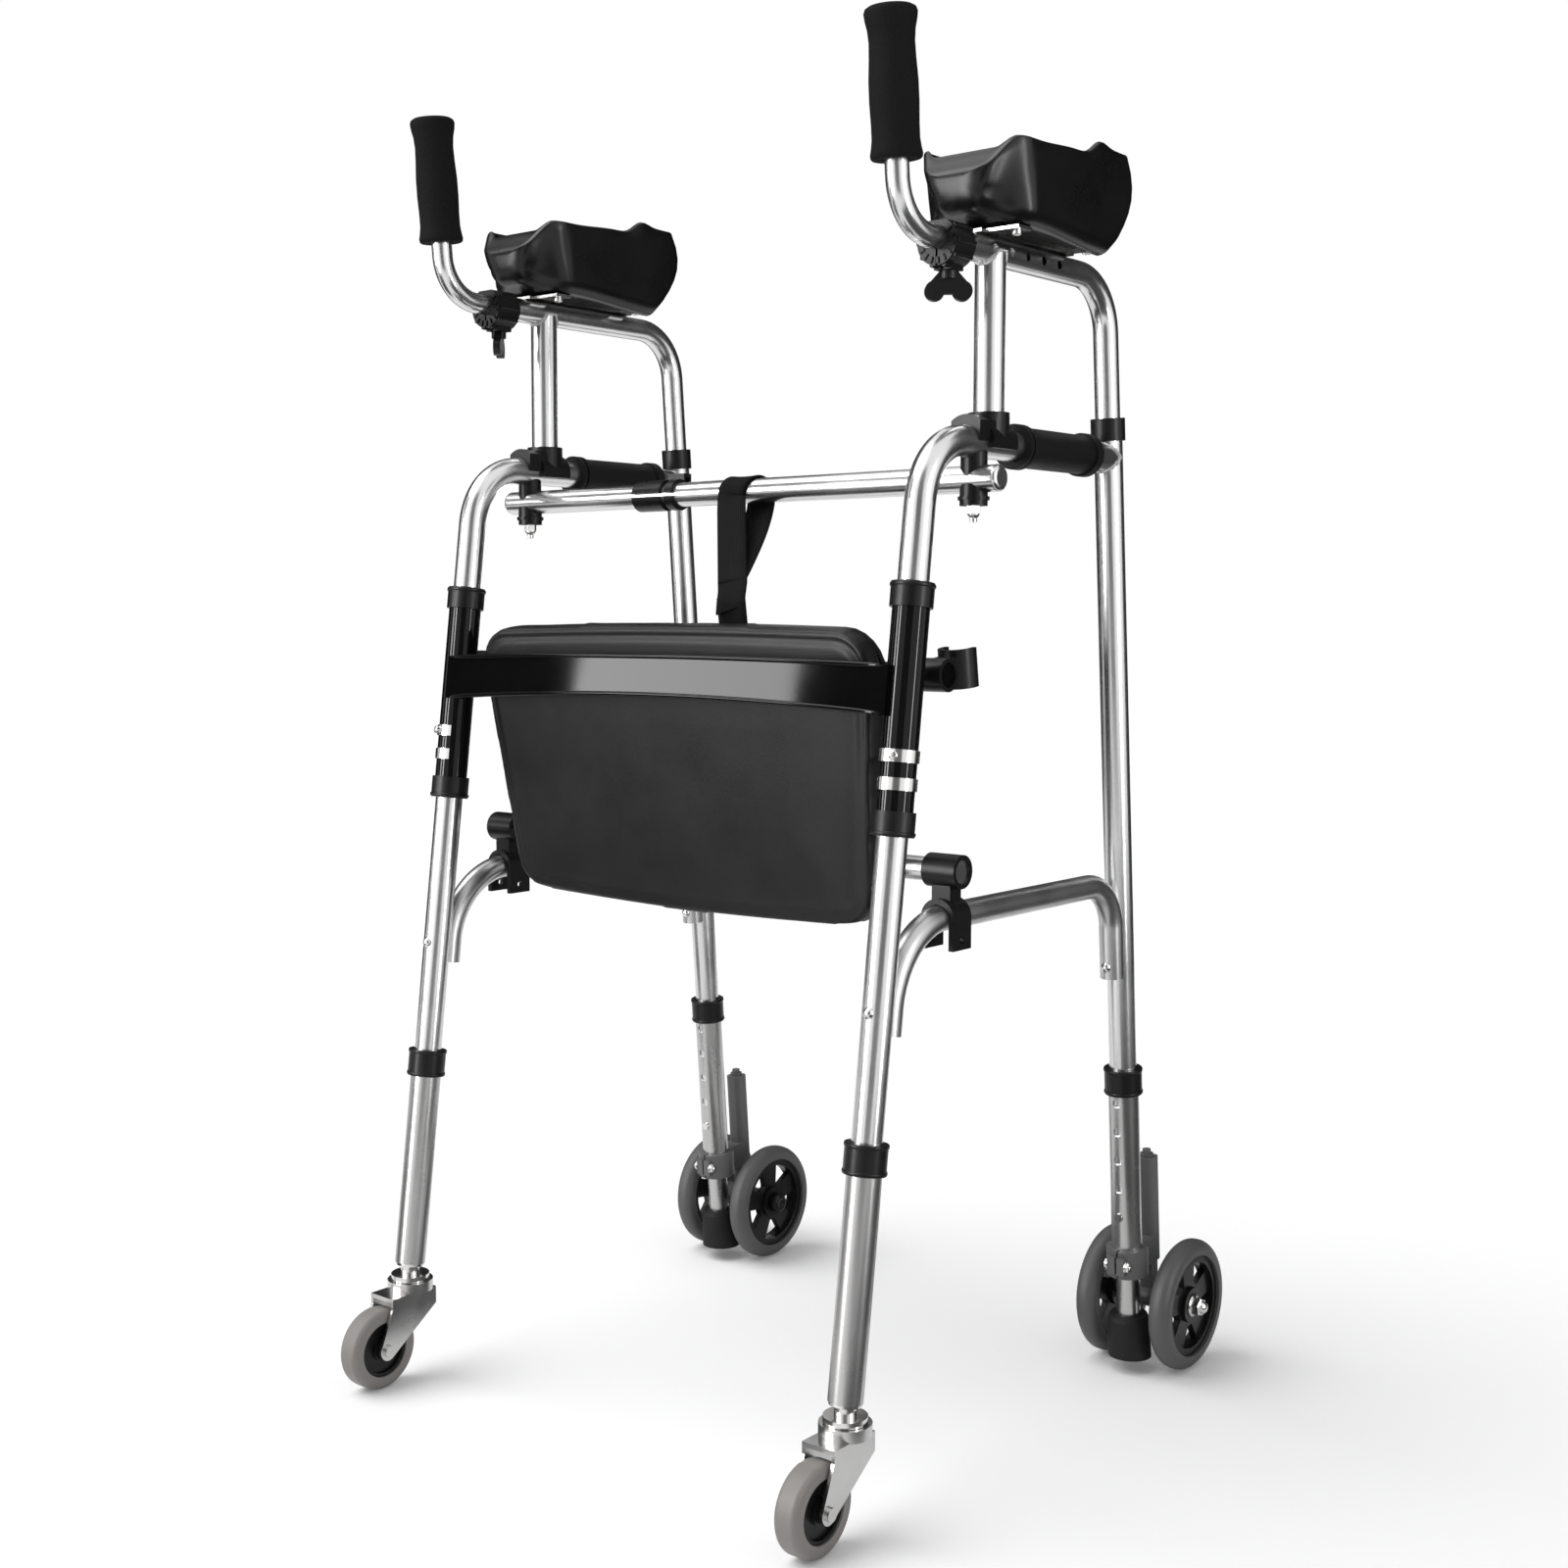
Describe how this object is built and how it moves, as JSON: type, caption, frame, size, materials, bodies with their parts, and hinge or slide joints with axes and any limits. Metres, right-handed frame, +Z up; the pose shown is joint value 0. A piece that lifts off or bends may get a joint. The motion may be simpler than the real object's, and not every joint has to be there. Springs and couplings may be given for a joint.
{
  "type": "upright walker",
  "caption": "Upright walker with forearm troughs and upright handles, fold-down seat between the side frames, swivel front casters and sprung rear wheels.",
  "frame": {"origin": "on the floor under the middle of the bounding box", "axes": "+Z up, -Y to the front where the casters are, +X to the left of a user who stands behind it and faces forward"},
  "size_m": [0.631, 0.635, 1.1831],
  "materials": {
    "tube": "bright anodised tube",
    "bright_steel": "bright plated steel",
    "zinc": "zinc plated pressing",
    "black_paint": "gloss black powder coat",
    "black_plastic": "black moulded plastic",
    "grey_plastic": "dark grey moulded plastic",
    "hub_plastic": "black moulded hub",
    "trough_skin": "skinned black polyurethane",
    "grip_rubber": "black ribbed rubber",
    "foam": "closed-cell foam",
    "foot_rubber": "dark rubber",
    "webbing": "black woven webbing",
    "seat_vinyl": "black vinyl cover",
    "tyre": "grey solid tyre"
  },
  "bodies": {
    "frame": {"left_side_frame": "tube", "right_side_frame": "tube", "arch_braces": "tube", "arch_rivets": "bright_steel", "crossbar": "tube", "crossbar_saddles": "grey_plastic", "crossbar_bolts": "bright_steel", "storage_clip": "black_plastic", "front_brace": "black_paint", "tube_collars": "black_plastic", "brace_bands": "bright_steel", "forearm_frames": "tube", "post_feet": "black_plastic", "forearm_troughs": "trough_skin", "trough_plates": "bright_steel", "hand_grips": "grip_rubber", "handle_clamps": "black_plastic", "strap_loop": "webbing", "hinge_claws": "black_plastic"},
    "seat": {"seat_cushion": "seat_vinyl", "seat_board": "black_plastic", "seat_hinge_tube": "tube", "seat_upper_tube": "black_paint", "seat_claws": "black_plastic"},
    "left_front_leg": {"left_front_extension": "tube", "left_front_collar": "black_plastic", "left_caster_stem": "bright_steel"},
    "left_caster": {"left_caster_fork": "zinc"},
    "left_caster_wheel": {"left_caster_hub": "hub_plastic", "left_caster_tyre": "tyre"},
    "left_rear_leg": {"left_rear_extension": "tube", "left_rear_collar": "black_plastic", "left_wheel_bracket": "grey_plastic", "left_rear_foot": "foot_rubber", "left_brake_spring": "bright_steel"},
    "left_axle": {"left_axle_slider": "grey_plastic"},
    "left_rear_wheels": {"left_rear_hubs": "hub_plastic", "left_rear_tyres": "tyre"},
    "left_button": {"left_height_button": "bright_steel"},
    "left_handle": {"left_handle_rod": "tube", "left_handle_grip": "foam"},
    "left_knob": {"left_wing_knob": "black_plastic"},
    "right_front_leg": {"right_front_extension": "tube", "right_front_collar": "black_plastic", "right_caster_stem": "bright_steel"},
    "right_caster": {"right_caster_fork": "zinc"},
    "right_caster_wheel": {"right_caster_hub": "hub_plastic", "right_caster_tyre": "tyre"},
    "right_rear_leg": {"right_rear_extension": "tube", "right_rear_collar": "black_plastic", "right_wheel_bracket": "grey_plastic", "right_rear_foot": "foot_rubber", "right_brake_spring": "bright_steel"},
    "right_axle": {"right_axle_slider": "grey_plastic"},
    "right_rear_wheels": {"right_rear_hubs": "hub_plastic", "right_rear_tyres": "tyre"},
    "right_button": {"right_height_button": "bright_steel"},
    "right_handle": {"right_handle_rod": "tube", "right_handle_grip": "foam"},
    "right_knob": {"right_wing_knob": "black_plastic"}
  },
  "joints": [
    {"name": "seat_fold", "type": "hinge", "parent": "frame", "child": "seat", "pos_m": [0, -0.1055, 0.5165], "axis": [-1, 0, 0], "range_deg": [0, 98.2]},
    {"name": "left_front_height", "type": "slide", "parent": "frame", "child": "left_front_leg", "axis": [0, -0.1288, -0.9917], "range_m": [0, 0.112]},
    {"name": "left_caster_swivel", "type": "hinge", "parent": "left_front_leg", "child": "left_caster", "pos_m": [-0.26, -0.23921, 0.094], "axis": [0, 0, 1], "continuous": true},
    {"name": "left_caster_roll", "type": "hinge", "parent": "left_caster", "child": "left_caster_wheel", "pos_m": [-0.26, -0.28001, 0.0375], "axis": [1, 0, 0], "continuous": true},
    {"name": "left_rear_height", "type": "slide", "parent": "frame", "child": "left_rear_leg", "axis": [0, 0.0819, -0.9966], "range_m": [0, 0.112], "deforming": ["left_height_button"]},
    {"name": "left_brake_travel", "type": "slide", "parent": "left_rear_leg", "child": "left_axle", "axis": [0, -0.0819, 0.9966], "range_m": [0, 0.014], "stiffness_N_per_m": 15000, "springref_m": -0.004, "deforming": ["left_brake_spring"]},
    {"name": "left_rear_roll", "type": "hinge", "parent": "left_axle", "child": "left_rear_wheels", "pos_m": [-0.26, 0.255, 0.0625], "axis": [1, 0, 0], "continuous": true},
    {"name": "left_button_press", "type": "slide", "parent": "frame", "child": "left_button", "axis": [0, 0.9966, 0.0819], "range_m": [0, 0.0045], "stiffness_N_per_m": 600, "springref_m": -0.003},
    {"name": "left_handle_reach", "type": "slide", "parent": "frame", "child": "left_handle", "axis": [0, -1, 0], "range_m": [0, 0.05]},
    {"name": "left_knob_turn", "type": "hinge", "parent": "frame", "child": "left_knob", "pos_m": [-0.26, -0.111, 0.99], "axis": [0, 0, -1], "range_deg": [0, 360]},
    {"name": "right_front_height", "type": "slide", "parent": "frame", "child": "right_front_leg", "axis": [0, -0.1288, -0.9917], "range_m": [0, 0.112]},
    {"name": "right_caster_swivel", "type": "hinge", "parent": "right_front_leg", "child": "right_caster", "pos_m": [0.26, -0.23921, 0.094], "axis": [0, 0, 1], "continuous": true},
    {"name": "right_caster_roll", "type": "hinge", "parent": "right_caster", "child": "right_caster_wheel", "pos_m": [0.26, -0.28001, 0.0375], "axis": [1, 0, 0], "continuous": true},
    {"name": "right_rear_height", "type": "slide", "parent": "frame", "child": "right_rear_leg", "axis": [0, 0.0819, -0.9966], "range_m": [0, 0.112], "deforming": ["right_height_button"]},
    {"name": "right_brake_travel", "type": "slide", "parent": "right_rear_leg", "child": "right_axle", "axis": [0, -0.0819, 0.9966], "range_m": [0, 0.014], "stiffness_N_per_m": 15000, "springref_m": -0.004, "deforming": ["right_brake_spring"]},
    {"name": "right_rear_roll", "type": "hinge", "parent": "right_axle", "child": "right_rear_wheels", "pos_m": [0.26, 0.255, 0.0625], "axis": [1, 0, 0], "continuous": true},
    {"name": "right_button_press", "type": "slide", "parent": "frame", "child": "right_button", "axis": [0, 0.9966, 0.0819], "range_m": [0, 0.0045], "stiffness_N_per_m": 600, "springref_m": -0.003},
    {"name": "right_handle_reach", "type": "slide", "parent": "frame", "child": "right_handle", "axis": [0, -1, 0], "range_m": [0, 0.05]},
    {"name": "right_knob_turn", "type": "hinge", "parent": "frame", "child": "right_knob", "pos_m": [0.26, -0.111, 0.99], "axis": [0, 0, -1], "range_deg": [0, 360]}
  ]
}
